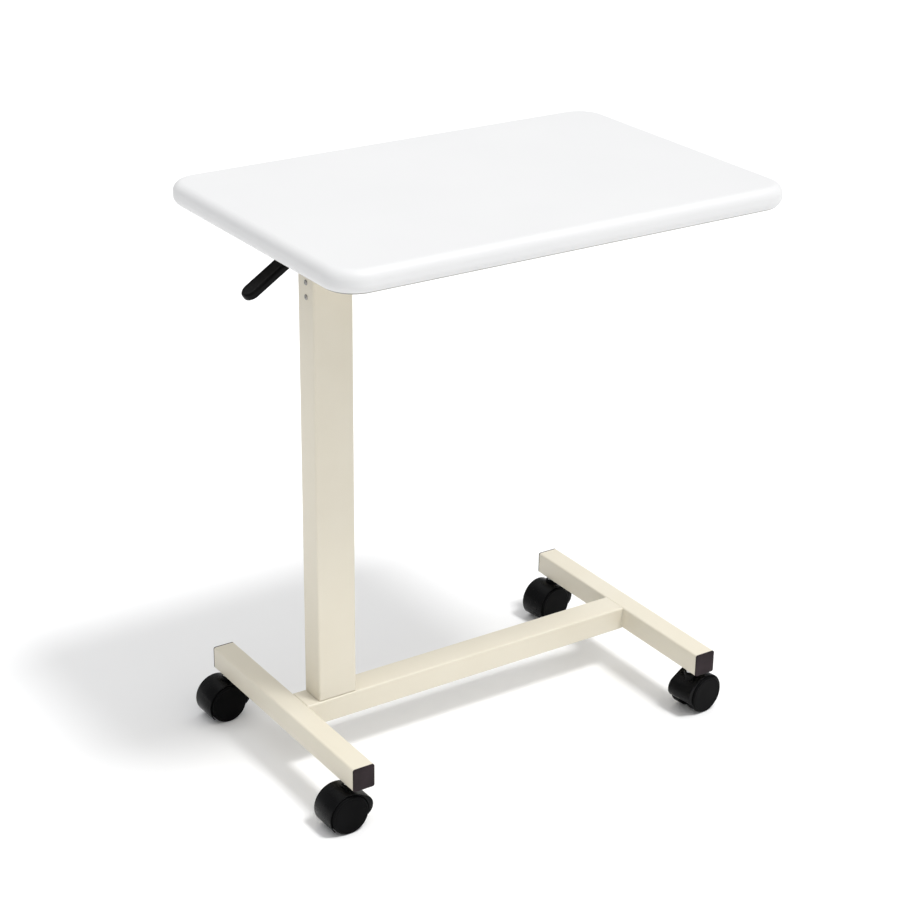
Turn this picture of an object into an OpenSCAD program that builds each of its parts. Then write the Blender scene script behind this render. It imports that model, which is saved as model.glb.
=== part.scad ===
// Overbed table: a board on a height-adjustable column that stands on an
// H-shaped base with four twin-wheel casters.  Millimetres, +Z up.
// Origin on the floor, under the middle of the board.

/* [Board] */
// Length of the board, along X
top_l = 600; // [560:5:640]
// Depth of the board, along Y
top_d = 400; // [380:5:440]
// Thickness of the board
top_t = 27; // [24:1:30]
// Corner radius of the board in plan
top_r = 38; // [25:1:60]
// Radius of the rounded edge, above and below
top_edge = 9; // [4:1:11]
// Height of the underside of the board, column lowered
top_z = 659; // [655:1:700]

/* [Column] */
// Outer tube, size along X
col_x = 51; // [48:1:52]
// Outer tube, size along Y
col_y = 34; // [33:1:40]
// Wall of the column tubes
col_wall = 1.5; // [1.2:0.1:2]
// Middle of the column, along X
col_cx = -202; // [-206:1:-195]
// Top of the outer tube
col_top = 620; // [612:1:620]
// Inner tube, size along X
in_x = 40; // [38:1:41]
// Inner tube, size along Y
in_y = 26; // [26:1:27]

/* [Base] */
// Width of a foot tube
foot_w = 28; // [26:1:32]
// Height of the foot tubes
foot_h = 29; // [24:1:30]
// Height of the cross beam, its top level with the feet
beam_h = 30; // [24:1:31]
// Length of a foot over its end caps
foot_len = 338; // [320:2:360]
// Wall of the base tubes
base_wall = 1.5; // [1.2:0.1:2.5]
// Outer face of the left foot, distance from the middle
foot_left = 271.5; // [268:0.5:275]
// Outer face of the right foot, distance from the middle
foot_right = 250; // [240:1:290]
// Width of the cross beam
beam_w = 37; // [34:1:50]
// Underside of the foot tubes above the floor
foot_z = 57; // [57:1:70]

/* [Casters] */
// Wheel diameter
wheel_d = 48; // [47:1:49]
// Width of one wheel
wheel_w = 14.5; // [12:0.5:14.5]
// Width over the two wheels
pair_w = 40; // [40:1:46]
// Distance from the swivel axis back to the wheel axle
trail = 10; // [10:0.5:14]
// Swivel axes from the middle of the foot, along Y
caster_y = 149; // [140:1:150]
// The same for the front left caster, which stands further in
caster_y_fl = 144; // [140:1:150]
// Swivel axes off the middle of the foot, along X
stem_off = -5; // [-5:0.5:0]
// How far the front left caster is turned at rest, degrees
yaw_fl = 1; // [-10:1:2]
// How far the back left caster is turned at rest, degrees
yaw_bl = 2; // [-4:1:2]
// How far the front right caster is turned at rest, degrees
yaw_fr = 188; // [150:1:230]
// How far the back right caster is turned at rest, degrees
yaw_br = 8; // [-60:1:60]

/* [Release lever] */
// Angle of the handle below level, degrees
lev_angle = 30; // [20:1:40]
// Length of the sloping handle
lev_len = 50; // [40:1:50]
// Width of the handle
lev_w = 23; // [16:1:24]
// Thickness of the handle
lev_t = 8; // [6:0.5:9]

/* [Hidden] */
$fn = 64;
eps = 0.01;
foot_top = foot_z + foot_h;
foot_lx = -foot_left + foot_w/2;
foot_rx = foot_right - foot_w/2;
cap_t = 2;
tube_len = foot_len - 2*cap_t;
axle_z = wheel_d/2;
beam_z = foot_top - beam_h;
hood_r = wheel_d/2 + 2.5;
hood_in = wheel_d/2 + 1;
hood_w = pair_w - 4;
nose = [17, 5];
nose_r = 14;
rail_h = 13;
plate_top = top_z - rail_h;
plate_t = 4;
plate_z = plate_top - plate_t;
rail_y = 60;
rail_w = 20;
piv_x = col_cx - 13;
piv_z = top_z - 25;
pin_x = col_cx;
head_z = top_z - 52;
arm_t = 6.5;
bend_x = col_cx - 52.5;
rod_d = 10;
cyl_d = 20;
cyl_z0 = foot_top + 8;
cyl_z1 = foot_top + 354;

// ---- flat shapes -------------------------------------------------------
// Rectangle with round corners, centred
module rrect(w, h, r) {
    square([w - 2*r, h], center = true);
    square([w, h - 2*r], center = true);
    for (sx = [-1, 1], sy = [-1, 1])
        translate([sx*(w/2 - r), sy*(h/2 - r)]) circle(r = r);
}

// Wall of a rectangular tube
module tube_wall(w, h, t, r = 2.5) {
    difference() {
        rrect(w, h, r);
        rrect(w - 2*t, h - 2*t, max(r - t, 0.6));
    }
}

// Lay an outline, drawn as (along, up), on edge so that it runs along X or Y
module run_x(len) { rotate([90, 0, 90]) linear_extrude(height = len, center = true) children(); }
module run_y(len) { rotate([90, 0, 0]) linear_extrude(height = len, center = true) children(); }

// ---- board -------------------------------------------------------------
// Upright section through the board, w wide, with both edges rounded
module board_section(w) {
    translate([-w/2 + top_edge, 0]) square([w - 2*top_edge, top_t]);
    translate([-w/2, top_edge]) square([w, top_t - 2*top_edge]);
    for (s = [-1, 1], z = [top_edge, top_t - top_edge])
        translate([s*(w/2 - top_edge), z]) circle(r = top_edge);
}

module tabletop() {
    color("white") difference() {
        translate([0, 0, top_z]) union() {
            run_x(top_l - 2*top_r) board_section(top_d);
            run_y(top_d - 2*top_r) board_section(top_l);
            for (sx = [-1, 1], sy = [-1, 1])
                translate([sx*(top_l/2 - top_r), sy*(top_d/2 - top_r), 0])
                    rotate_extrude() intersection() {
                        board_section(2*top_r);
                        translate([0, -1]) square([top_r + 1, top_t + 2]);
                    }
        }
        screw_places() translate([0, 0, top_z - 1]) cylinder(d = 4.1, h = 15);
    }
}

// The six screws of the board
module screw_places() {
    for (x = [col_cx - 20, -20, 150], y = [-rail_y, rail_y])
        translate([x, y, 0]) children();
}

// Channel that carries the board, open below
module rail(y) {
    color("ivory") difference() {
        translate([(col_cx - 33 + 190)/2, y, top_z - rail_h])
            run_x(190 - (col_cx - 33)) difference() {
                translate([-rail_w/2, 0]) square([rail_w, rail_h]);
                translate([-rail_w/2 + 1.8, -1]) square([rail_w - 3.6, rail_h + 1 - 1.8]);
            }
        screw_places() translate([0, 0, top_z - 5]) cylinder(d = 4.6, h = 8);
    }
}
module rail_front() { rail(-rail_y); }
module rail_back() { rail(rail_y); }

module mounting_plate() {
    color("ivory") difference() {
        translate([col_cx + 25, 0, plate_z]) linear_extrude(height = plate_t)
            rrect(116, 2*rail_y + rail_w, 8);
        for (y = [-rail_y, rail_y])
            translate([col_cx - 20, y, plate_z - 1]) cylinder(d = 11, h = plate_t + 2);
        for (x = [col_cx + 62], y = [-34, 0, 34])
            translate([x, y, plate_z - 1]) cylinder(d = 14, h = plate_t + 2);
    }
}

// Pan-head screws through the rails into the board
module panel_screws() {
    color("silver") screw_places() {
        translate([0, 0, top_z - 1.8]) cylinder(d = 4, h = 14.3);
        difference() {
            translate([0, 0, top_z - 4.3]) cylinder(d = 8.5, h = 2.5);
            for (a = [0, 90]) rotate([0, 0, a])
                translate([-2.4, -0.4, top_z - 4.4]) cube([4.8, 0.8, 1.3]);
        }
    }
}

// ---- lift column -------------------------------------------------------
module inner_column() {
    color("silver") difference() {
        translate([col_cx, 0, foot_top + 34]) linear_extrude(height = plate_z - foot_top - 34)
            tube_wall(in_x, in_y, col_wall, 2.2);
        // slot that the lever comes out of
        translate([col_cx - in_x/2 - 1, -8.2, col_top + 2])
            cube([4, 16.4, plate_z - col_top - 2 + 1]);
    }
}

// Sleeve at the foot of the inner tube, a sliding fit in the outer tube
module lower_guide_bush() {
    color("black") translate([col_cx, 0, foot_top + 34]) {
        linear_extrude(height = 40) difference() {
            rrect(col_x - 2*col_wall - 0.4, col_y - 2*col_wall - 0.4, 1.2);
            square([in_x + 0.02, in_y + 0.02], center = true);
        }
    }
}

module gas_spring_rod() {
    color("silver") translate([col_cx, 0, 0]) difference() {
        union() {
            translate([0, 0, cyl_z0 + 22]) cylinder(d = rod_d, h = head_z + 16 - cyl_z0 - 22);
            translate([0, 0, cyl_z0 + 14]) cylinder(d = cyl_d - 3.1, h = 9);
        }
        translate([0, 0, head_z - 12]) cylinder(d = 4.1, h = 40);
    }
}

module rod_lock_nut() {
    color("silver") translate([col_cx, 0, head_z - 7]) difference() {
        cylinder(d = 18, h = 7, $fn = 6);
        translate([0, 0, -1]) cylinder(d = rod_d + 0.1, h = 9);
    }
}

// Block in the head of the inner tube that holds the rod and the lever's pin
module release_head() {
    color("gray") difference() {
        translate([col_cx, 0, head_z]) {
            translate([-18.3, -11.3, 0]) cube([36.6, 22.6, 12]);
            for (s = [-1, 1])
                translate([-18.3, s*9.7 - 1.5, 0]) cube([11, 3, plate_z - head_z - 4]);
        }
        translate([col_cx, 0, head_z - 1]) cylinder(d = rod_d + 0.1, h = 20);
        translate([piv_x, 0, piv_z]) rotate([90, 0, 0]) cylinder(d = 5.02, h = 60, center = true);
    }
}

module lever_pivot_pin() {
    color("silver") translate([piv_x, 0, piv_z]) rotate([90, 0, 0])
        cylinder(d = 5, h = 22.6, center = true);
}

// Steel arm of the lever: level through the slot, then sloping down
module lever_arm() {
    color("dimgray") difference() {
        union() {
            translate([bend_x, -5, piv_z - arm_t/2]) cube([col_cx + 4 - bend_x, 10, arm_t]);
            translate([bend_x, 0, piv_z]) rotate([0, -lev_angle, 0])
                translate([-34, -5, -1.5]) cube([34, 10, 3]);
            translate([bend_x, 0, piv_z]) rotate([90, 0, 0]) cylinder(d = arm_t, h = 10, center = true);
            translate([piv_x, 0, piv_z]) rotate([90, 0, 0]) cylinder(d = 9, h = 15.6, center = true);
        }
        translate([piv_x, 0, piv_z]) rotate([90, 0, 0]) cylinder(d = 5.08, h = 40, center = true);
        translate([col_cx - 6.5, -6, piv_z - arm_t/2 - 4]) cube([14, 12, 4]);
    }
}

// Moulded handle over the arm, flat with a round end
module lever_grip() {
    color("black") translate([bend_x, 0, piv_z]) rotate([0, -lev_angle, 0])
        difference() {
            translate([0, 0, -lev_t/2]) linear_extrude(height = lev_t) {
                translate([-lev_len + lev_w/2, -lev_w/2]) square([lev_len - lev_w/2 - 4, lev_w]);
                translate([-lev_len + lev_w/2, 0]) circle(d = lev_w);
            }
            translate([-34.05, -5.05, -1.55]) cube([40, 10.1, 3.1]);
        }
}

// Valve pin in the top of the rod, pressed by the lever
module release_pin() {
    color("silver") translate([pin_x, 0, head_z - 8])
        cylinder(d = 4, h = piv_z - arm_t/2 - 0.3 - head_z + 8);
}

module outer_column() {
    color("ivory") difference() {
        translate([col_cx, 0, foot_top]) linear_extrude(height = col_top - foot_top)
            tube_wall(col_x, col_y, col_wall, 2.5);
        guide_screw_places() cylinder(d = 4.2, h = 8, center = true);
    }
}

// The two screws in the narrow left face of the outer tube
module guide_screw_places() {
    for (z = [col_top - 13, col_top - 30])
        translate([col_cx - col_x/2 + 1, -1.5, z]) rotate([0, 90, 0]) children();
}

module upper_guide_bush() {
    color("black") difference() {
        translate([col_cx, 0, col_top - 50]) {
            linear_extrude(height = 50) difference() {
                rrect(col_x - 2*col_wall, col_y - 2*col_wall, 1);
                rrect(in_x + 0.5, in_y + 0.5, 2.2);
            }
            translate([0, 0, 50]) linear_extrude(height = 2) difference() {
                rrect(col_x, col_y, 2.5);
                rrect(in_x + 0.5, in_y + 0.5, 2.2);
            }
        }
        guide_screw_places() cylinder(d = 3.6, h = 12, center = true);
    }
}

module guide_screws() {
    color("gray") guide_screw_places() {
        translate([0, 0, -1]) cylinder(d = 3.5, h = 4.1);
        difference() {
            translate([0, 0, -2.2]) cylinder(d = 6.5, h = 1.2);
            for (a = [0, 90]) rotate([0, 0, a])
                translate([-1.9, -0.35, -2.3]) cube([3.8, 0.7, 0.7]);
        }
    }
}

// Gas spring cylinder, closed below with a stud, with a bored gland above
module gas_spring_cylinder() {
    color("black") translate([col_cx, 0, 0]) rotate_extrude() difference() {
        union() {
            translate([0, cyl_z0]) square([cyl_d/2, cyl_z1 - cyl_z0]);
            translate([0, foot_top]) square([4, 10]);
        }
        translate([-1, cyl_z0 + 8]) square([cyl_d/2 - 1.5 + 1, cyl_z1 - cyl_z0 - 28]);
        translate([-1, cyl_z0 + 8]) square([rod_d/2 + 0.05 + 1, cyl_z1]);
    }
}

// Plate welded in the foot of the outer tube
module column_foot_plate() {
    color("gray") difference() {
        translate([col_cx, 0, foot_top]) linear_extrude(height = 8)
            rrect(col_x - 2*col_wall, col_y - 2*col_wall, 1);
        translate([col_cx, 0, foot_top - 1]) cylinder(d = 8.1, h = 12);
        for (s = [-1, 1]) translate([col_cx + s*16, 0, foot_top - 1]) cylinder(d = 6.1, h = 12);
    }
}

module column_bolts() {
    color("silver") for (s = [-1, 1]) translate([col_cx + s*16, 0, 0]) {
        translate([0, 0, beam_z]) cylinder(d = 6, h = beam_h + 7);
        translate([0, 0, beam_z - 4]) cylinder(d = 11.5, h = 4, $fn = 6);
        translate([0, 0, beam_z - 1.2]) cylinder(d = 14, h = 1.2);
    }
}

// ---- base --------------------------------------------------------------
module cross_beam() {
    color("ivory") difference() {
        translate([(-foot_left + foot_w + foot_right - foot_w)/2, 0, beam_z + beam_h/2])
            run_x(foot_left + foot_right - 2*foot_w) tube_wall(beam_w, beam_h, base_wall, 2.5);
        for (s = [-1, 1]) translate([col_cx + s*16, 0, beam_z - 1]) cylinder(d = 6.1, h = beam_h + 2);
    }
}

// Where a swivel axis stands along Y, for the foot at x, front (-1) or back (1)
function swivel_y(x, s) = s*(x < 0 && s < 0 ? caster_y_fl : caster_y);

module foot_tube(x) {
    color("ivory") difference() {
        translate([x, 0, foot_z + foot_h/2]) run_y(tube_len) tube_wall(foot_w, foot_h, base_wall, 2.5);
        for (s = [-1, 1]) translate([x + stem_off, swivel_y(x, s), foot_z - 1]) cylinder(d = 12.1, h = 4);
    }
}
module left_foot() { foot_tube(foot_lx); }
module right_foot() { foot_tube(foot_rx); }

// Plug with a flange that is flush with the tube
module end_cap(x, s) {
    color("dimgray") translate([x, s*foot_len/2, foot_z + foot_h/2]) {
        translate([0, -s*cap_t/2, 0]) run_y(cap_t) rrect(foot_w, foot_h, 2.5);
        translate([0, -s*(cap_t + 4), 0]) run_y(8) difference() {
            rrect(foot_w - 2*base_wall - 0.1, foot_h - 2*base_wall - 0.1, 1);
            rrect(foot_w - 2*base_wall - 4, foot_h - 2*base_wall - 4, 0.8);
        }
    }
}
module end_cap_left_front() { end_cap(foot_lx, -1); }
module end_cap_left_back() { end_cap(foot_lx, 1); }
module end_cap_right_front() { end_cap(foot_rx, -1); }
module end_cap_right_back() { end_cap(foot_rx, 1); }

// Threaded bushes welded in the feet for the caster stems
module stem_inserts() {
    color("gray") for (x = [foot_lx, foot_rx], s = [-1, 1])
        translate([x + stem_off, swivel_y(x, s), foot_z]) difference() {
            cylinder(d = 12, h = 18);
            translate([0, 0, -1]) cylinder(d = 8.1, h = 20);
        }
}

// ---- casters -----------------------------------------------------------
// Put the child at a caster's swivel axis, turned by yaw; the wheels trail to -X
module at_caster(x, s, yaw) { translate([x + stem_off, swivel_y(x, s), 0]) rotate([0, 0, yaw]) children(); }

// Stud: thread above, collar under the foot, journal in the hood
module stem() {
    color("silver") {
        translate([0, 0, foot_z]) cylinder(d = 8, h = 17);
        translate([0, 0, foot_z - 3]) cylinder(d = 14, h = 3, $fn = 6);
        translate([0, 0, axle_z + 12]) cylinder(d = 7, h = foot_z - 3 - axle_z - 12 + eps);
    }
}

// Side outline of the hood, axle at the origin, front to +X
module hood_outline() {
    a = atan2(nose[1], nose[0]) + acos((hood_r - nose_r)/norm(nose));
    circle(r = hood_r);
    translate(nose) circle(r = nose_r);
    r1 = hood_r - 0.2;
    r2 = nose_r - 0.2;
    polygon([[0, 0], [r1*cos(a), r1*sin(a)], [nose[0] + r2*cos(a), nose[1] + r2*sin(a)], nose]);
}
// What is left of that outline: open below, deeper at the back than in front
module hood_keep() {
    polygon([[-40, -17], [-16, -17], [-10, -5], [12, -5], [20, -11], [40, -11], [40, 40], [-40, 40]]);
}
module hood() {
    gap = pair_w - 2*wheel_w - 1;
    color([0.1, 0.1, 0.1]) difference() {
        translate([-trail, 0, axle_z]) {
            // canopy over both wheels
            run_y(hood_w) intersection() {
                difference() { hood_outline(); circle(r = hood_in); }
                hood_keep();
            }
            // web between the wheels, down to the axle
            run_y(gap) {
                intersection() { hood_outline(); hood_keep(); }
                circle(r = 8);
            }
            // boss round the stem
            difference() {
                translate([trail, 0, 14]) cylinder(d = 17, h = 15);
                run_y(60) circle(r = hood_in + 0.7);
            }
        }
        translate([0, 0, axle_z + 9]) cylinder(d = 7.1, h = 40);
        translate([-trail, 0, axle_z]) rotate([90, 0, 0]) cylinder(d = 6.02, h = 60, center = true);
    }
}

module axle() {
    color("silver") translate([-trail, 0, axle_z]) rotate([90, 0, 0])
        cylinder(d = 6, h = pair_w - 4, center = true);
}

// Half section of a wheel, drawn as (radius, distance from the outer face inward)
module wheel_section() {
    r = wheel_d/2;
    difference() {
        union() {
            translate([0, 0.6]) square([r - 1.2, wheel_w - 1.2]);
            translate([0, 1.8]) square([r, wheel_w - 3.6]);
            for (v = [1.8, wheel_w - 1.8]) translate([r - 1.8, v]) circle(r = 1.8);
            translate([0, 0]) square([r - 6, 2]);
        }
        // hollow on the inner side, round the hub
        translate([7, 5]) square([r - 4 - 7, wheel_w]);
        // bore, blind at the outer face
        translate([-1, 1.7]) square([1 + 3.04, wheel_w]);
    }
}
module wheel(side) {
    color([0.08, 0.08, 0.08]) translate([-trail, side*pair_w/2, axle_z])
        rotate([side*90, 0, 0]) rotate_extrude() wheel_section();
}

module caster_stem_fl() { at_caster(foot_lx, -1, yaw_fl) stem(); }
module caster_stem_bl() { at_caster(foot_lx, 1, yaw_bl) stem(); }
module caster_stem_fr() { at_caster(foot_rx, -1, yaw_fr) stem(); }
module caster_stem_br() { at_caster(foot_rx, 1, yaw_br) stem(); }
module caster_hood_fl() { at_caster(foot_lx, -1, yaw_fl) hood(); }
module caster_hood_bl() { at_caster(foot_lx, 1, yaw_bl) hood(); }
module caster_hood_fr() { at_caster(foot_rx, -1, yaw_fr) hood(); }
module caster_hood_br() { at_caster(foot_rx, 1, yaw_br) hood(); }
module caster_axle_fl() { at_caster(foot_lx, -1, yaw_fl) axle(); }
module caster_axle_bl() { at_caster(foot_lx, 1, yaw_bl) axle(); }
module caster_axle_fr() { at_caster(foot_rx, -1, yaw_fr) axle(); }
module caster_axle_br() { at_caster(foot_rx, 1, yaw_br) axle(); }
module wheel_fl_near() { at_caster(foot_lx, -1, yaw_fl) wheel(-1); }
module wheel_fl_far() { at_caster(foot_lx, -1, yaw_fl) wheel(1); }
module wheel_bl_near() { at_caster(foot_lx, 1, yaw_bl) wheel(-1); }
module wheel_bl_far() { at_caster(foot_lx, 1, yaw_bl) wheel(1); }
module wheel_fr_near() { at_caster(foot_rx, -1, yaw_fr) wheel(-1); }
module wheel_fr_far() { at_caster(foot_rx, -1, yaw_fr) wheel(1); }
module wheel_br_near() { at_caster(foot_rx, 1, yaw_br) wheel(-1); }
module wheel_br_far() { at_caster(foot_rx, 1, yaw_br) wheel(1); }

tabletop();
rail_front();
rail_back();
mounting_plate();
panel_screws();
inner_column();
lower_guide_bush();
gas_spring_rod();
rod_lock_nut();
release_head();
lever_pivot_pin();
lever_arm();
lever_grip();
release_pin();
outer_column();
upper_guide_bush();
guide_screws();
gas_spring_cylinder();
column_foot_plate();
column_bolts();
cross_beam();
left_foot();
right_foot();
end_cap_left_front();
end_cap_left_back();
end_cap_right_front();
end_cap_right_back();
stem_inserts();
caster_stem_fl();
caster_stem_bl();
caster_stem_fr();
caster_stem_br();
caster_hood_fl();
caster_hood_bl();
caster_hood_fr();
caster_hood_br();
caster_axle_fl();
caster_axle_bl();
caster_axle_fr();
caster_axle_br();
wheel_fl_near();
wheel_fl_far();
wheel_bl_near();
wheel_bl_far();
wheel_fr_near();
wheel_fr_far();
wheel_br_near();
wheel_br_far();
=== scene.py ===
import bpy
import bmesh
import math
from mathutils import Vector, Matrix


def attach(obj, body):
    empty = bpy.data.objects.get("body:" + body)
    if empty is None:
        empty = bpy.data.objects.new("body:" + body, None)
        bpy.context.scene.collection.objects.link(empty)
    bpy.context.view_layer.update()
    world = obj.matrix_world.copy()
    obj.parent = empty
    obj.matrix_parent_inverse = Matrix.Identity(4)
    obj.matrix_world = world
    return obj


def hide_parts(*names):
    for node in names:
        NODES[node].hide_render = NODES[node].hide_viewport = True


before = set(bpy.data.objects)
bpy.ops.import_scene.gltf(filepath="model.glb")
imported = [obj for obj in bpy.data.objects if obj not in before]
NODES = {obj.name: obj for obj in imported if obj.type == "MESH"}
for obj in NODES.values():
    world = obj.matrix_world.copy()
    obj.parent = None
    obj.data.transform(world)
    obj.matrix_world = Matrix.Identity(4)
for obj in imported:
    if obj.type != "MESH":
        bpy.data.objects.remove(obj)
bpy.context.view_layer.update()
S = 0.001
pi = math.pi


# ------------------------------------------------------------------ camera
def set_camera():
    a, e, r = math.radians(-33.43962), math.radians(23.81833), math.radians(0.63989)
    back = Vector((math.sin(a) * math.cos(e), -math.cos(a) * math.cos(e), math.sin(e)))
    right = Vector((math.cos(a), math.sin(a), 0.0))
    up = right.cross(-back)
    R = math.cos(r) * right + math.sin(r) * up
    U = -math.sin(r) * right + math.cos(r) * up
    pos = Vector((-1.35235, -1.99492, 1.41647))
    cam = bpy.data.cameras.new("camera")
    cam.sensor_fit = "HORIZONTAL"
    cam.sensor_width = 36.0
    cam.lens = 2207.04 / 900.0 * 36.0
    cam.clip_start = 0.05
    cam.clip_end = 60.0
    ob = bpy.data.objects.new("camera", cam)
    m = Matrix.Identity(4)
    for i in range(3):
        m[i][0], m[i][1], m[i][2], m[i][3] = R[i], U[i], back[i], pos[i]
    ob.matrix_world = m
    bpy.context.scene.collection.objects.link(ob)
    bpy.context.scene.camera = ob


set_camera()


# ------------------------------------------------------------------ meshes
def finish_mesh(bm, name, sharp=35.0, merge=True):
    if merge:
        bmesh.ops.remove_doubles(bm, verts=bm.verts, dist=2e-7)
    bmesh.ops.recalc_face_normals(bm, faces=bm.faces)
    lim = math.radians(sharp)
    for f in bm.faces:
        f.smooth = True
    for ed in bm.edges:
        if len(ed.link_faces) == 2:
            ed.smooth = ed.calc_face_angle(0.0) < lim
        else:
            ed.smooth = False
    me = bpy.data.meshes.new(name)
    bm.to_mesh(me)
    bm.free()
    ob = bpy.data.objects.new(name, me)
    bpy.context.scene.collection.objects.link(ob)
    return ob


def rings_into(bm, rings, closed=False, cap_start=True, cap_end=True):
    """Join rings of points, all the same length, with quads. Points in mm."""
    vs = [[bm.verts.new(Vector(p) * S) for p in ring] for ring in rings]
    n = len(vs[0])
    pairs = list(zip(vs[:-1], vs[1:]))
    if closed:
        pairs.append((vs[-1], vs[0]))
    for a, b in pairs:
        for i in range(n):
            j = (i + 1) % n
            bm.faces.new((a[i], a[j], b[j], b[i]))
    if not closed:
        if cap_start:
            bm.faces.new(list(reversed(vs[0])))
        if cap_end:
            bm.faces.new(vs[-1])
    return vs


def rr_points(w, h, r, n=8):
    """Round rectangle outline, counter-clockwise, centred."""
    pts = []
    r = max(min(r, w / 2 - 1e-4, h / 2 - 1e-4), 1e-3)
    for cx, cy, a0 in ((w / 2 - r, h / 2 - r, 0), (-w / 2 + r, h / 2 - r, 90),
                       (-w / 2 + r, -h / 2 + r, 180), (w / 2 - r, -h / 2 + r, 270)):
        for i in range(n + 1):
            a = math.radians(a0 + 90.0 * i / n)
            pts.append((cx + r * math.cos(a), cy + r * math.sin(a)))
    return pts


def frame_map(origin, ax, ay, az):
    o, ax, ay, az = Vector(origin), Vector(ax), Vector(ay), Vector(az)
    return lambda x, y, z: o + ax * x + ay * y + az * z


def tube(name, origin, along, side, up, w, h, length, r=2.5, wall=1.5, chamfer=0.5, n=8, seg=1):
    """Open rectangular tube with rounded corners, from origin along 'along'."""
    at = frame_map(origin, side, up, along)
    bm = bmesh.new()
    rings = []

    def ring(ww, hh, rr, z):
        rings.append([at(x, y, z) for x, y in rr_points(ww, hh, rr, n)])
    c = chamfer
    ring(w - 2 * c, h - 2 * c, r - c, 0.0)
    ring(w - 0.3 * c, h - 0.3 * c, r - 0.15 * c, 0.3 * c)
    ring(w, h, r, c)
    for i in range(1, seg):
        ring(w, h, r, c + (length - 2 * c) * i / seg)
    ring(w, h, r, length - c)
    ring(w - 0.3 * c, h - 0.3 * c, r - 0.15 * c, length - 0.3 * c)
    ring(w - 2 * c, h - 2 * c, r - c, length)
    ring(w - 2 * wall, h - 2 * wall, max(r - wall, 0.6), length)
    ring(w - 2 * wall, h - 2 * wall, max(r - wall, 0.6), 0.0)
    rings_into(bm, rings, closed=True)
    return finish_mesh(bm, name, 50)


def extrude_outline(bm, pts, y0, y1, bevel=0.0, seg=3, place=None):
    """A closed outline (x, z), extruded from y0 to y1, with rounded rims."""
    place = place or (lambda x, y, z: Vector((x, y, z)))
    n = len(pts)

    def inset(d):
        out = []
        for i in range(n):
            p0, p1, p2 = Vector(pts[i - 1]), Vector(pts[i]), Vector(pts[(i + 1) % n])
            t1, t2 = (p1 - p0), (p2 - p1)
            t1 = t1.normalized() if t1.length > 1e-9 else t2.normalized()
            t2 = t2.normalized() if t2.length > 1e-9 else t1
            n1, n2 = Vector((-t1.y, t1.x)), Vector((-t2.y, t2.x))
            m = (n1 + n2)
            m = m.normalized() if m.length > 1e-6 else n1
            k = 1.0 / max(m.dot(n1), 0.55)
            out.append(p1 + m * d * k)
        return out
    area = sum(pts[i][0] * pts[(i + 1) % n][1] - pts[(i + 1) % n][0] * pts[i][1] for i in range(n))
    sgn = 1.0 if area > 0 else -1.0
    levels = []
    if bevel > 0:
        for i in range(seg + 1):
            a = pi / 2 * i / seg
            levels.append((bevel * (1 - math.sin(a)), y0 + bevel * (1 - math.cos(a))))
        for i in range(seg + 1):
            a = pi / 2 * (1 - i / seg)
            levels.append((bevel * (1 - math.sin(a)), y1 - bevel * (1 - math.cos(a))))
    else:
        levels = [(0, y0), (0, y1)]
    rings = []
    for d, y in levels:
        q = inset(sgn * d) if d > 1e-6 else [Vector(p) for p in pts]
        rings.append([place(p.x, y, p.y) for p in q])
    rings_into(bm, rings)


def arc(cx, cy, r, a0, a1, n):
    return [(cx + r * math.cos(math.radians(a0 + (a1 - a0) * i / n)),
             cy + r * math.sin(math.radians(a0 + (a1 - a0) * i / n))) for i in range(n + 1)]


def revolve_into(bm, prof, place, n=96):
    """prof: list of (radius, depth); radius 0 ends become poles."""
    rings = []
    for r, d in prof:
        if r < 1e-6:
            rings.append(bm.verts.new(place(0, d, 0) * S))
        else:
            rings.append([bm.verts.new(place(r * math.cos(2 * pi * i / n), d, r * math.sin(2 * pi * i / n)) * S)
                          for i in range(n)])
    for a, b in zip(rings[:-1], rings[1:]):
        for i in range(n):
            j = (i + 1) % n
            if isinstance(a, list) and isinstance(b, list):
                bm.faces.new((a[i], a[j], b[j], b[i]))
            elif isinstance(b, list):
                bm.faces.new((a, b[j], b[i]))
            else:
                bm.faces.new((a[i], a[j], b))
    return rings


def bead(name, path, radius=1.5, closed=True, ripple=0.18, pitch=2.6, sides=10):
    """A weld bead swept along path (mm), with a slow ripple."""
    bm = bmesh.new()
    pts = [Vector(p) for p in path]
    # even spacing
    loop = pts + ([pts[0]] if closed else [])
    dist = [0.0]
    for a, b in zip(loop[:-1], loop[1:]):
        dist.append(dist[-1] + (b - a).length)
    total = dist[-1]
    step = pitch / 4.0
    count = max(8, int(total / step))
    out = []
    k = 0
    for i in range(count + (0 if closed else 1)):
        d = total * i / count
        while k < len(dist) - 2 and dist[k + 1] < d:
            k += 1
        f = (d - dist[k]) / max(dist[k + 1] - dist[k], 1e-9)
        out.append((loop[k].lerp(loop[k + 1], f), d))
    rings = []
    m = len(out)
    for i, (p, d) in enumerate(out):
        a = out[i - 1][0] if (i > 0 or closed) else out[i][0]
        b = out[(i + 1) % m][0] if (i < m - 1 or closed) else out[i][0]
        t = (b - a).normalized()
        ref = Vector((0, 0, 1)) if abs(t.z) < 0.9 else Vector((1, 0, 0))
        u = t.cross(ref).normalized()
        v = t.cross(u).normalized()
        ph = 2 * pi * d / pitch
        rr = radius * (1.0 + ripple * (abs(math.sin(ph / 2)) - 0.5) + 0.07 * math.sin(d * 0.37 + 1.3))
        if not closed:
            endf = min(d, total - d) / max(radius * 1.5, 1e-6)
            rr *= min(1.0, 0.25 + 0.75 * math.sqrt(max(0.0, min(1.0, endf))))
        rings.append([p + (u * math.cos(2 * pi * q / sides) + v * math.sin(2 * pi * q / sides)) * rr for q in range(sides)])
    rings_into(bm, rings, closed=closed)
    return finish_mesh(bm, name, 80)


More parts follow.
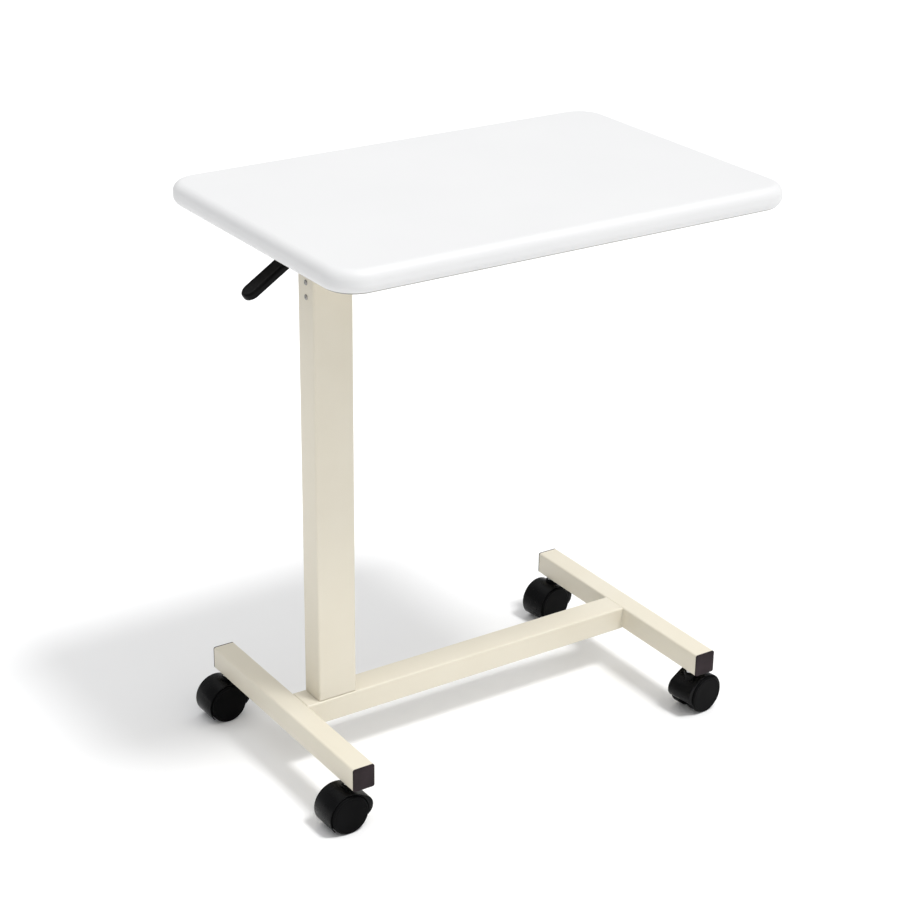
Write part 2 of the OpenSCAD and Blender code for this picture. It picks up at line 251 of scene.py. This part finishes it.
# ------------------------------------------------------------------ materials
def new_mat(name):
    m = bpy.data.materials.new(name)
    m.use_nodes = True
    nt = m.node_tree
    for n in list(nt.nodes):
        nt.nodes.remove(n)
    out = nt.nodes.new("ShaderNodeOutputMaterial")
    b = nt.nodes.new("ShaderNodeBsdfPrincipled")
    nt.links.new(b.outputs[0], out.inputs[0])
    tc = nt.nodes.new("ShaderNodeTexCoord")
    return m, nt, b, tc


def noise(nt, tc, scale, detail=3.0, rough=0.55, dist=0.0, coord="Object"):
    n = nt.nodes.new("ShaderNodeTexNoise")
    n.inputs["Scale"].default_value = scale
    n.inputs["Detail"].default_value = detail
    n.inputs["Roughness"].default_value = rough
    n.inputs["Distortion"].default_value = dist
    nt.links.new(tc.outputs[coord], n.inputs["Vector"])
    return n


def ramp(nt, src, stops, out="Fac"):
    r = nt.nodes.new("ShaderNodeValToRGB")
    el = r.color_ramp.elements
    el[0].position, el[0].color = stops[0][0], stops[0][1]
    el[1].position, el[1].color = stops[-1][0], stops[-1][1]
    for p, c in stops[1:-1]:
        x = el.new(p)
        x.color = c
    nt.links.new(src.outputs[out], r.inputs[0])
    return r


def g(v, a=1.0):
    return (v, v, v, a)


def bump(nt, b, src, strength, dist, out="Fac", chain=None):
    n = nt.nodes.new("ShaderNodeBump")
    n.inputs["Strength"].default_value = strength
    n.inputs["Distance"].default_value = dist
    nt.links.new(src.outputs[out], n.inputs["Height"])
    if chain is not None:
        nt.links.new(chain.outputs[0], n.inputs["Normal"])
    if b is not None:
        nt.links.new(n.outputs[0], b.inputs["Normal"])
    return n


def mat_paint():
    m, nt, b, tc = new_mat("ivory_powder_coat")
    big = noise(nt, tc, 9.0, 3.0)
    fine = noise(nt, tc, 900.0, 2.0, 0.6)
    speck = noise(nt, tc, 2600.0, 1.0)
    col = ramp(nt, big, [(0.3, (0.728, 0.674, 0.550, 1)), (0.55, (0.745, 0.693, 0.571, 1)), (0.75, (0.758, 0.710, 0.592, 1))])
    mix = nt.nodes.new("ShaderNodeMixRGB")
    mix.blend_type = "MULTIPLY"
    mix.inputs[0].default_value = 0.06
    nt.links.new(col.outputs[0], mix.inputs[1])
    nt.links.new(speck.outputs["Color"], mix.inputs[2])
    nt.links.new(mix.outputs[0], b.inputs["Base Color"])
    rr = ramp(nt, fine, [(0.3, g(0.36)), (0.7, g(0.46))])
    nt.links.new(rr.outputs[0], b.inputs["Roughness"])
    peel = noise(nt, tc, 420.0, 2.0, 0.5)
    b1 = bump(nt, None, peel, 0.16, 0.0006)
    bump(nt, b, speck, 0.08, 0.0001, chain=b1)
    b.inputs["Specular IOR Level"].default_value = 0.45
    b.inputs["Coat Weight"].default_value = 0.12
    b.inputs["Coat Roughness"].default_value = 0.25
    return m


def mat_board():
    m, nt, b, tc = new_mat("white_laminate")
    big = noise(nt, tc, 5.0, 2.0)
    fine = noise(nt, tc, 1400.0, 3.0, 0.6)
    col = ramp(nt, big, [(0.3, (0.690, 0.690, 0.692, 1)), (0.7, (0.706, 0.706, 0.706, 1))])
    mix = nt.nodes.new("ShaderNodeMixRGB")
    mix.blend_type = "MULTIPLY"
    mix.inputs[0].default_value = 0.02
    nt.links.new(col.outputs[0], mix.inputs[1])
    nt.links.new(fine.outputs["Color"], mix.inputs[2])
    nt.links.new(mix.outputs[0], b.inputs["Base Color"])
    rr = ramp(nt, fine, [(0.3, g(0.40)), (0.7, g(0.52))])
    nt.links.new(rr.outputs[0], b.inputs["Roughness"])
    wave = noise(nt, tc, 60.0, 1.0)
    b1 = bump(nt, None, wave, 0.05, 0.0008)
    bump(nt, b, fine, 0.10, 0.00012, chain=b1)
    b.inputs["Specular IOR Level"].default_value = 0.4
    return m


# painted shade: a dark grey sheet that stands in for the shade under the board and along its lower rounded edge
def mat_underside_painted_shade():
    m, nt, b, tc = new_mat("grey_underside_painted_shade")
    big = noise(nt, tc, 14.0, 4.0)
    fine = noise(nt, tc, 700.0, 3.0, 0.65)
    col = ramp(nt, big, [(0.3, (0.270, 0.262, 0.245, 1)), (0.7, (0.315, 0.305, 0.286, 1))])
    mix = nt.nodes.new("ShaderNodeMixRGB")
    mix.blend_type = "MULTIPLY"
    mix.inputs[0].default_value = 0.10
    nt.links.new(col.outputs[0], mix.inputs[1])
    nt.links.new(fine.outputs["Color"], mix.inputs[2])
    nt.links.new(mix.outputs[0], b.inputs["Base Color"])
    rr = ramp(nt, fine, [(0.3, g(0.60)), (0.7, g(0.75))])
    nt.links.new(rr.outputs[0], b.inputs["Roughness"])
    bump(nt, b, fine, 0.20, 0.00015)
    b.inputs["Specular IOR Level"].default_value = 0.3
    return m


def mat_black(name, base, r0, r1, grain=1500.0, bump_s=0.25, dust=0.25, spec=0.45):
    m, nt, b, tc = new_mat(name)
    big = noise(nt, tc, 35.0, 4.0)
    fine = noise(nt, tc, grain, 2.0, 0.6)
    d = [c * (1 + dust) + 0.004 * dust for c in base]
    col = ramp(nt, big, [(0.35, (base[0], base[1], base[2], 1)), (0.75, (d[0], d[1], d[2], 1))])
    mix = nt.nodes.new("ShaderNodeMixRGB")
    mix.blend_type = "MULTIPLY"
    mix.inputs[0].default_value = 0.25
    nt.links.new(col.outputs[0], mix.inputs[1])
    nt.links.new(fine.outputs["Color"], mix.inputs[2])
    nt.links.new(mix.outputs[0], b.inputs["Base Color"])
    rr = ramp(nt, big, [(0.3, g(r0)), (0.75, g(r1))])
    nt.links.new(rr.outputs[0], b.inputs["Roughness"])
    bump(nt, b, fine, bump_s, 0.00008)
    b.inputs["Specular IOR Level"].default_value = spec
    return m


def mat_steel(name="zinc_steel", base=(0.58, 0.58, 0.57), rough=(0.28, 0.45)):
    m, nt, b, tc = new_mat(name)
    big = noise(nt, tc, 160.0, 4.0)
    fine = noise(nt, tc, 2400.0, 2.0)
    col = ramp(nt, big, [(0.3, (base[0] * 0.85, base[1] * 0.86, base[2] * 0.88, 1)), (0.7, (base[0], base[1], base[2], 1))])
    nt.links.new(col.outputs[0], b.inputs["Base Color"])
    rr = ramp(nt, fine, [(0.3, g(rough[0])), (0.7, g(rough[1]))])
    nt.links.new(rr.outputs[0], b.inputs["Roughness"])
    b.inputs["Metallic"].default_value = 1.0
    bump(nt, b, fine, 0.15, 0.00005)
    return m


M_PAINT = mat_paint()
M_BOARD = mat_board()
M_UNDERSIDE_PAINTED_SHADE = mat_underside_painted_shade()
M_CAP = mat_black("charcoal_cap", (0.0195, 0.0135, 0.0155), 0.55, 0.70, 700.0, 0.45, 0.9, 0.13)
M_BUSH = mat_black("black_bush", (0.016, 0.016, 0.017), 0.42, 0.55)
M_LEVER = mat_black("lever_plastic", (0.0018, 0.0018, 0.0020), 0.30, 0.42, 1200.0, 0.30, 0.3, 0.09)
M_ARM = mat_black("lever_steel_paint", (0.012, 0.012, 0.012), 0.35, 0.5)
M_CYL = mat_black("cylinder_paint", (0.012, 0.012, 0.013), 0.25, 0.35, 1800.0, 0.1)
M_HOOD = mat_black("hood_nylon", (0.0020, 0.0021, 0.0023), 0.22, 0.36, 1100.0, 0.25, 0.4, 0.085)
M_WHEEL = mat_black("wheel_nylon", (0.0022, 0.0022, 0.0024), 0.32, 0.46, 900.0, 0.30, 0.5, 0.035)
M_TREAD = mat_black("wheel_tread", (0.0026, 0.0026, 0.0028), 0.50, 0.68, 500.0, 0.5, 0.8, 0.07)
M_STEEL = mat_steel()
M_DARKSTEEL = mat_steel("dull_screw_steel", (0.36, 0.35, 0.33), (0.4, 0.55))


def use(ob, mat):
    ob.data.materials.clear()
    ob.data.materials.append(mat)
    return ob


def cad(node, mat):
    ob = NODES[node]
    if not ob.material_slots:
        ob.data.materials.append(mat)
    for s in ob.material_slots:
        s.material = mat


def piece(ob, mat, body, slot, *nodes):
    if mat is not None:
        use(ob, mat)
    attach(ob, body)
    if nodes:
        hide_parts(*nodes)
    return ob


# ------------------------------------------------------------------ sizes, mm
TOP_L, TOP_D, TOP_T, TOP_R, TOP_E, TOP_Z = 600.0, 400.0, 27.0, 38.0, 11.5, 659.0
COL_CX, COL_X, COL_Y, COL_TOP = -202.0, 51.0, 34.0, 620.0
FOOT_Z, FOOT_H, FOOT_W, FOOT_LEN = 57.0, 29.0, 28.0, 338.0
FOOT_LX, FOOT_RX = -271.5 + 14.0, 250.0 - 14.0
FOOT_TOP = FOOT_Z + FOOT_H
BEAM_W, BEAM_H = 37.0, 30.0
BEAM_Z = FOOT_TOP - BEAM_H / 2
CAP_T = 2.0
CASTER_Y, CASTER_Y_FL, STEM_OFF, TRAIL = 149.0, 144.0, -5.0, 10.0
AXLE_Z, WHEEL_R, PAIR_W, WHEEL_W = 24.0, 24.0, 40.0, 14.5
HOOD_R, HOOD_IN, HOOD_W, NOSE_X, NOSE_Z, NOSE_R = 26.5, 25.0, 36.0, 17.0, 5.0, 14.0
PIV_Z = 634.0
BEND_X = -254.5
LEV_A, LEV_L, LEV_W, LEV_T, LEV_S = 32.5, 58.0, 23.4, 8.6, -9.0
PLATE_Z = 642.0

# ------------------------------------------------------------------ board
def make_board():
    bm = bmesh.new()
    rings = []
    n = 28

    def ring(inset, z):
        rings.append([Vector((x, y, z)) for x, y in rr_points(TOP_L - 2 * inset, TOP_D - 2 * inset, TOP_R - inset, n)])
    k = 14
    ring(TOP_E + 6, TOP_Z)
    for i in range(k + 1):
        a = pi / 2 * i / k
        ring(TOP_E * (1 - math.sin(a)), TOP_Z + TOP_E * (1 - math.cos(a)))
    for i in range(k + 1):
        a = pi / 2 * (1 - i / k)
        ring(TOP_E * (1 - math.sin(a)), TOP_Z + TOP_T - TOP_E * (1 - math.cos(a)))
    ring(TOP_E + 6, TOP_Z + TOP_T)
    rings_into(bm, rings)
    return finish_mesh(bm, "board", 60)


_board = piece(make_board(), M_BOARD, "top", "board", "tabletop")
# faces turned downwards (normal z below -0.74) get the dark grey painted-shade sheet. These are the underside and the
# lower part of the rounded edge. It draws a painted shadow line along the lower edge and cuts the light the underside
# throws down onto the column top.
_board.data.materials.append(M_UNDERSIDE_PAINTED_SHADE)
for poly in _board.data.polygons:
    if poly.normal.z < -0.74:
        poly.material_index = 1

# ------------------------------------------------------------------ tubes
X, Y, Z = (1, 0, 0), (0, 1, 0), (0, 0, 1)


def cut_holes(ob, holes):
    """Drill round holes, each (x, y, z0, z1, radius) in mm, upright."""
    for x, y, z0, z1, r in holes:
        bm = bmesh.new()
        bmesh.ops.create_cone(bm, cap_ends=True, segments=40, radius1=r * S, radius2=r * S, depth=(z1 - z0) * S,
                              matrix=Matrix.Translation(Vector((x, y, (z0 + z1) / 2)) * S))
        me = bpy.data.meshes.new("cut")
        bm.to_mesh(me)
        bm.free()
        c = bpy.data.objects.new("cut", me)
        bpy.context.scene.collection.objects.link(c)
        mod = ob.modifiers.new("b", "BOOLEAN")
        mod.operation = "DIFFERENCE"
        mod.solver = "EXACT"
        mod.object = c
        dg = bpy.context.evaluated_depsgraph_get()
        new = bpy.data.meshes.new_from_object(ob.evaluated_get(dg))
        ob.modifiers.clear()
        old = ob.data
        ob.data = new
        bpy.data.meshes.remove(old)
        bpy.data.objects.remove(c)
        bpy.data.meshes.remove(me)
    return ob


def swivel_y(fx, s):
    return s * (CASTER_Y_FL if fx < 0 and s < 0 else CASTER_Y)


foot_len = FOOT_LEN - 2 * CAP_T
for nm, fx in (("left_foot", FOOT_LX), ("right_foot", FOOT_RX)):
    ob = tube(nm + "_tube", (fx, -foot_len / 2, FOOT_Z + FOOT_H / 2), Y, X, (0, 0, 1), FOOT_W, FOOT_H, foot_len, 2.5, 1.5, 0.25)
    cut_holes(ob, [(fx + STEM_OFF, swivel_y(fx, s), FOOT_Z - 3, FOOT_Z + 3.5, 6.05) for s in (-1, 1)])
    piece(ob, M_PAINT, "base", "frame_paint", nm)

bx0, bx1 = FOOT_LX + FOOT_W / 2, FOOT_RX - FOOT_W / 2
ob = tube("cross_beam_tube", (bx0, 0, BEAM_Z), X, Y, Z, BEAM_W, BEAM_H, bx1 - bx0, 2.5, 1.5, 0.1)
piece(ob, M_PAINT, "base", "frame_paint", "cross_beam")

ob = tube("outer_column_tube", (COL_CX, 0, FOOT_TOP + 0.8), Z, X, Y, COL_X, COL_Y, COL_TOP - FOOT_TOP - 0.8, 2.5, 1.5, 0.6)
piece(ob, M_PAINT, "base", "frame_paint", "outer_column")

# weld beads where the beam meets the feet, following the beam's outline
for nm, xx in (("weld_beam_left", bx0), ("weld_beam_right", bx1)):
    pts = [(xx, y, BEAM_Z + z) for y, z in rr_points(BEAM_W - 1.2, FOOT_H - 2.6, 2.2, 6)]
    ob = bead(nm, pts, radius=1.25)
    piece(ob, M_PAINT, "base", "frame_paint")

# weld bead between the lift tube and the mounting plate
pts = [(COL_CX + x, y, PLATE_Z - 0.4) for x, y in rr_points(40.8, 26.8, 2.4, 6)]
left = [q for q in pts if not (q[0] < COL_CX - 19 and abs(q[1]) < 12.5)]
cut = next((i for i in range(len(left)) if left[i - 1][0] < COL_CX - 15 and left[i][0] < COL_CX - 15
            and left[i - 1][1] > 5 and left[i][1] < -5), 0)
path = left[cut:] + left[:cut]
path = [(COL_CX - 20.4, -9.6, PLATE_Z - 0.4)] + path + [(COL_CX - 20.4, 9.6, PLATE_Z - 0.4)]
ob = bead("weld_plate", path, radius=1.3, closed=False)
piece(ob, M_PAINT, "top", "frame_paint")


# ------------------------------------------------------------------ end caps
def make_cap(name, x, s):
    at = lambda u, v, d: Vector((x + u, s * (FOOT_LEN / 2 - CAP_T + d), FOOT_Z + FOOT_H / 2 + v))
    bm = bmesh.new()
    rings = []

    def ring(w, h, r, d):
        rings.append([at(u, v, d) for u, v in rr_points(w, h, r, 8)])
    w, h = FOOT_W, FOOT_H
    iw, ih = w - 3.1, h - 3.1
    ring(iw - 1.2, ih - 1.2, 0.6, -8.0)
    ring(iw, ih, 1.0, -7.2)
    ring(iw, ih, 1.0, 0.0)
    ring(w - 0.5, h - 0.5, 2.3, 0.0)
    ring(w - 0.1, h - 0.1, 2.45, 0.12)
    ring(w, h, 2.5, 0.4)
    ring(w, h, 2.5, 1.2)
    ring(w - 0.25, h - 0.25, 2.4, 1.6)
    ring(w - 0.9, h - 0.9, 2.1, 1.85)
    ring(w - 2.4, h - 2.4, 1.6, 1.95)
    ring(w - 8, h - 8, 1.2, 2.0)
    rings_into(bm, rings)
    return finish_mesh(bm, name, 40)


for nm, fx, s in (("left_front", FOOT_LX, -1), ("left_back", FOOT_LX, 1), ("right_front", FOOT_RX, -1), ("right_back", FOOT_RX, 1)):
    piece(make_cap("cap_" + nm, fx, s), M_CAP, "base", "cap_plastic", "end_cap_" + nm)

# ------------------------------------------------------------------ lift tube
ob = tube("lift_tube", (COL_CX, 0, 120), Z, X, Y, 40, 26, PLATE_Z - 120, 2.2, 1.5, 0.2)


def cut_box(ob, lo, hi):
    bm = bmesh.new()
    bmesh.ops.create_cube(bm, size=1.0)
    for v in bm.verts:
        v.co = Vector([(lo[i] + (v.co[i] + 0.5) * (hi[i] - lo[i])) * S for i in range(3)])
    me = bpy.data.meshes.new("cut")
    bm.to_mesh(me)
    bm.free()
    c = bpy.data.objects.new("cut", me)
    bpy.context.scene.collection.objects.link(c)
    mod = ob.modifiers.new("b", "BOOLEAN")
    mod.operation = "DIFFERENCE"
    mod.solver = "EXACT"
    mod.object = c
    dg = bpy.context.evaluated_depsgraph_get()
    new = bpy.data.meshes.new_from_object(ob.evaluated_get(dg))
    ob.modifiers.clear()
    old = ob.data
    ob.data = new
    bpy.data.meshes.remove(old)
    bpy.data.objects.remove(c)
    bpy.data.meshes.remove(me)


cut_box(ob, (COL_CX - 21, -8.2, COL_TOP + 2), (COL_CX - 17, 8.2, PLATE_Z + 1))
piece(ob, M_PAINT, "top", "inner_steel", "inner_column")


# ------------------------------------------------------------------ lever handle
def make_grip():
    a = math.radians(LEV_A)
    u = Vector((-math.cos(a), 0, -math.sin(a)))
    nrm = Vector((-math.sin(a), 0, math.cos(a)))
    o = Vector((BEND_X, 0, PIV_Z))
    bm = bmesh.new()
    rings = []
    R = LEV_W / 2

    def ring(d, h, crown=0.0):
        pts = []
        r = R - d
        tip = LEV_L - R
        m = 40
        for i in range(m + 1):
            t = -pi / 2 + pi * i / m
            pts.append((tip + r * math.cos(t), r * math.sin(t)))
        rc = max(2.5 - d, 0.3)
        for i in range(7):
            t = pi / 2 + pi / 2 * i / 6
            pts.append((LEV_S + d + rc + rc * math.cos(t), r - rc + rc * math.sin(t)))
        for i in range(7):
            t = pi + pi / 2 * i / 6
            pts.append((LEV_S + d + rc + rc * math.cos(t), -r + rc + rc * math.sin(t)))
        rings.append([o + u * s + Vector((0, w, 0)) + nrm * h for s, w in pts])
    e = 2.6
    H = LEV_T / 2
    ring(6.5, -H + 0.1)
    ring(e + 0.6, -H + 0.02)
    k = 8
    for i in range(k + 1):
        t = pi / 2 * i / k
        ring(e * (1 - math.sin(t)), -H + e * (1 - math.cos(t)))
    for i in range(k + 1):
        t = pi / 2 * (1 - i / k)
        ring(e * (1 - math.sin(t)), H - e * (1 - math.cos(t)))
    ring(e + 1.2, H - 0.06)
    ring(e + 2.6, H - 0.20)
    ring(6.5, H - 0.30)
    rings_into(bm, rings)
    return finish_mesh(bm, "lever_handle", 50)


piece(make_grip(), M_LEVER, "lever", "lever_plastic", "lever_grip")


# ------------------------------------------------------------------ casters
def caster_place(x, s, yaw):
    c, sn = math.cos(math.radians(yaw)), math.sin(math.radians(yaw))
    ox, oy = x + STEM_OFF, swivel_y(x, s)

    def at(px, py, pz):   # local: swivel axis at 0, floor at 0
        return Vector((ox + px * c - py * sn, oy + px * sn + py * c, pz))
    return at


NOSE_A = math.degrees(math.atan2(NOSE_Z, NOSE_X) + math.acos((HOOD_R - NOSE_R) / math.hypot(NOSE_X, NOSE_Z)))
REAR_A = 180.0 + math.degrees(math.asin(16.6 / HOOD_R))


def hood_outer(d=0.0, rear=REAR_A, front=-50.0, n=44):
    return arc(0, 0, HOOD_R - d, rear, NOSE_A, n) + arc(NOSE_X, NOSE_Z, NOSE_R - d, NOSE_A, front, 34)


def make_hood(name, at):
    bm = bmesh.new()
    ax = lambda x, y, z: at(x - TRAIL, y, z + AXLE_Z)
    half = HOOD_W / 2
    outline = hood_outer() + arc(0, 0, HOOD_IN + 0.05, -17, REAR_A + 0.8, 70)
    outline.reverse()
    extrude_outline(bm, outline, -half, half, 0.55, 3, ax)
    # web between the wheels
    g2 = PAIR_W / 2 - WHEEL_W - 0.55
    web = list(hood_outer(0.5, REAR_A - 2, -40)) + [(21.5, -6.6), (12.0, -7.2)]
    web += list(arc(0, 0, 8.4, -42, -140, 16)) + [(-10.0, -9.0)]
    web.reverse()
    extrude_outline(bm, web, -g2, g2, 0.6, 3, ax)
    # boss round the stem
    prof = [(3.56, 18.0), (3.56, 28.2), (4.1, 28.95), (7.2, 28.95), (8.0, 28.7), (8.4, 28.0), (8.5, 26.6)]
    revolve_into(bm, prof, lambda px, pd, pz: at(px, pz, AXLE_Z + pd), 48)
    # skirt of the boss, down to the canopy
    rings = [[], []]
    nn = 48
    for i in range(nn):
        t = 2 * pi * i / nn
        lx, ly = 8.5 * math.cos(t), 8.5 * math.sin(t)
        hx = lx + TRAIL
        if hx <= HOOD_R * math.cos(math.radians(NOSE_A)):
            low = math.sqrt(max(HOOD_R ** 2 - hx * hx, 0)) - 0.6
        else:
            x0, z0 = HOOD_R * math.cos(math.radians(NOSE_A)), HOOD_R * math.sin(math.radians(NOSE_A))
            x1, z1 = NOSE_X + NOSE_R * math.cos(math.radians(NOSE_A)), NOSE_Z + NOSE_R * math.sin(math.radians(NOSE_A))
            low = z0 + (z1 - z0) * (hx - x0) / (x1 - x0) - 0.6
        rings[0].append(at(lx, ly, AXLE_Z + 26.6))
        rings[1].append(at(lx * 1.03, ly * 1.03, AXLE_Z + min(low, 26.4)))
    vs = [[bm.verts.new(p * S) for p in r] for r in rings]
    for i in range(nn):
        j = (i + 1) % nn
        bm.faces.new((vs[0][i], vs[0][j], vs[1][j], vs[1][i]))
    return finish_mesh(bm, name, 38, merge=False)


def wheel_profile():
    """(radius, depth from the outer face), from the middle of the outer face round to the bore."""
    R = WHEEL_R
    p = [(0.0, 0.16), (5.0, 0.18), (11.0, 0.24), (17.6, 0.20), (19.6, 0.12), (20.4, 0.16), (20.65, 0.36), (20.95, 0.36), (21.2, 0.10), (21.6, 0.0)]
    for i in range(9):
        a = pi / 2 * i / 8
        p.append((R - 1.9 + 1.9 * math.sin(a), 0.02 + 1.9 * (1 - math.cos(a))))
    p += [(R - 0.02, 4.0), (R, 7.0), (R - 0.02, 11.0)]
    W = WHEEL_W
    for i in range(9):
        a = pi / 2 * (1 - i / 8)
        p.append((R - 1.6 + 1.6 * math.sin(a), W - 0.05 - 1.6 * (1 - math.cos(a))))
    p += [(R - 3.0, W), (R - 3.8, W - 0.3), (R - 4.1, W - 0.9), (R - 4.4, 6.0), (R - 5, 5.2), (R - 6, 5.0), (8.6, 5.0), (7.4, 5.3), (7.0, 6.0),
          (7.0, W - 0.9), (6.6, W - 0.2), (6.0, W), (3.5, W), (3.06, W - 0.5), (3.06, 1.7), (0.0, 1.7)]
    return p


WP = wheel_profile()


def make_wheel(name, at, side):
    bm = bmesh.new()
    pl = lambda px, pd, pz: at(px - TRAIL, side * (PAIR_W / 2 - pd), pz + AXLE_Z)
    revolve_into(bm, WP, pl, 96)
    # ribs in the hollow inner side
    for k in range(8):
        t = 2 * pi * k / 8 + 0.2
        c, sn = math.cos(t), math.sin(t)
        w = 0.8
        quad = [(6.6, -w), (19.8, -w), (19.8, w), (6.6, w)]
        rings = []
        for d in (4.8, 12.0, 12.4):
            ww = 1.0 if d < 12.2 else 0.6
            rings.append([pl(r * c - q * ww * sn, d, r * sn + q * ww * c) for r, q in quad])
        rings_into(bm, rings)
    ob = finish_mesh(bm, name, 34, merge=False)
    return ob


CASTERS = {"fl": (FOOT_LX, -1, 1.0), "bl": (FOOT_LX, 1, 2.0), "fr": (FOOT_RX, -1, 188.0), "br": (FOOT_RX, 1, 8.0)}
for k, (fx, s, yaw) in CASTERS.items():
    at = caster_place(fx, s, yaw)
    piece(make_hood("hood_" + k, at), M_HOOD, "swivel_" + k, "hood_plastic", "caster_hood_" + k)
    for w, sd in (("near", -1), ("far", 1)):
        ob = make_wheel("castor_wheel_%s_%s" % (k, w), at, sd)
        ob.data.materials.clear()
        ob.data.materials.append(M_WHEEL)
        ob.data.materials.append(M_TREAD)
        cx = Vector(at(-TRAIL, 0, AXLE_Z)) * S
        axd = (at(0, 1, 0) - at(0, 0, 0))
        for poly in ob.data.polygons:
            v = poly.center - cx
            d = abs(v.dot(axd))
            rad = (v - axd * v.dot(axd)).length
            if rad > 0.0236 and d > 0.0066:
                poly.material_index = 1
        piece(ob, None, "spin_%s_%s" % (k, w), "wheel_plastic", "wheel_%s_%s" % (k, w))

# ------------------------------------------------------------------ screws
def make_guide_screws():
    bm = bmesh.new()
    for z in (COL_TOP - 13, COL_TOP - 30):
        o = Vector((COL_CX - COL_X / 2, -1.5, z))
        pl = lambda px, pd, pz, o=o: o + Vector((-pd, px, pz))
        prof = [(3.25, 0.0), (3.22, 0.25), (3.0, 0.62), (2.5, 0.92), (1.9, 1.12), (1.0, 1.2), (0.95, 0.4), (0.0, 0.35)]
        revolve_into(bm, [(0.0, -2.5), (1.75, -2.5), (1.75, 0.0)] + prof, pl, 40)
    return finish_mesh(bm, "guide_screw_heads", 40, merge=False)


piece(make_guide_screws(), M_DARKSTEEL, "base", "hardware_steel", "guide_screws")

# ------------------------------------------------------------------ carried-over CAD nodes
for n in ("rail_front", "rail_back", "mounting_plate"):
    cad(n, M_PAINT)
for n in ("panel_screws", "gas_spring_rod", "rod_lock_nut", "release_head", "lever_pivot_pin", "release_pin",
          "column_foot_plate", "column_bolts", "stem_inserts"):
    cad(n, M_STEEL)
for k in CASTERS:
    cad("caster_stem_" + k, M_STEEL)
    cad("caster_axle_" + k, M_STEEL)
cad("lever_arm", M_ARM)
cad("lower_guide_bush", M_BUSH)
cad("upper_guide_bush", M_BUSH)
cad("gas_spring_cylinder", M_CYL)


# ------------------------------------------------------------------ floor and light
def floor():
    bm = bmesh.new()
    q = 14.0
    vs = [bm.verts.new(v) for v in ((-q, -q, 0), (q, -q, 0), (q, q, 0), (-q, q, 0))]
    bm.faces.new(vs)
    me = bpy.data.meshes.new("floor")
    bm.to_mesh(me)
    bm.free()
    ob = bpy.data.objects.new("floor", me)
    bpy.context.scene.collection.objects.link(ob)
    m, nt, b, tc = new_mat("floor_white")
    n = noise(nt, tc, 3.0, 2.0)
    c = ramp(nt, n, [(0.3, g(0.925)), (0.7, g(0.93))])
    nt.links.new(c.outputs[0], b.inputs["Base Color"])
    b.inputs["Roughness"].default_value = 0.9
    b.inputs["Specular IOR Level"].default_value = 0.1
    me.materials.append(m)


floor()


def area(name, loc, target, size, power, color=(1, 1, 1), size_y=None):
    li = bpy.data.lights.new(name, "AREA")
    li.shape = "RECTANGLE"
    li.size = size
    li.size_y = size_y or size
    li.energy = power
    li.color = color
    ob = bpy.data.objects.new(name, li)
    ob.location = loc
    d = Vector(target) - Vector(loc)
    ob.rotation_euler = d.to_track_quat("-Z", "Y").to_euler()
    bpy.context.scene.collection.objects.link(ob)
    return ob


def sun(name, direction, strength, angle, color=(1, 1, 1)):
    li = bpy.data.lights.new(name, "SUN")
    li.energy = strength
    li.angle = math.radians(angle)
    li.color = color
    ob = bpy.data.objects.new(name, li)
    ob.location = (2.0, 1.0, 3.5)
    ob.rotation_euler = (-Vector(direction)).to_track_quat("-Z", "Y").to_euler()
    bpy.context.scene.collection.objects.link(ob)
    return ob


# a very wide soft key from above, a smaller soft light from the front right and a weak low fill;
# the first two are even over the whole floor
sun("key", (0.16, -0.02, 1.0), 1.22, 96.0, (1.0, 0.995, 0.99))
sun("front", (0.24, -0.40, 1.0), 1.72, 13.0)
area("fill_front", (0.0, -3.4, 0.75), (0, 0, 0.40), 2.0, 7)

w = bpy.data.worlds.new("world")
w.use_nodes = True
bg = w.node_tree.nodes["Background"]
bg.inputs[0].default_value = (0.975, 0.985, 1.0, 1)
bg.inputs[1].default_value = 0.515
# what the camera sees beyond the floor is plain white, the light itself stays soft
_wt = w.node_tree
_white = _wt.nodes.new("ShaderNodeBackground")
_white.inputs[0].default_value = (1, 1, 1, 1)
_white.inputs[1].default_value = 1.0
_path = _wt.nodes.new("ShaderNodeLightPath")
_mix = _wt.nodes.new("ShaderNodeMixShader")
_wt.links.new(_path.outputs["Is Camera Ray"], _mix.inputs[0])
_wt.links.new(bg.outputs[0], _mix.inputs[1])
_wt.links.new(_white.outputs[0], _mix.inputs[2])
_wt.links.new(_mix.outputs[0], [n for n in _wt.nodes if n.type == "OUTPUT_WORLD"][0].inputs[0])
bpy.context.scene.world = w
vs = bpy.context.scene.view_settings
vs.view_transform = "Standard"
vs.look = "None"
vs.exposure = 0.0
vs.gamma = 1.0
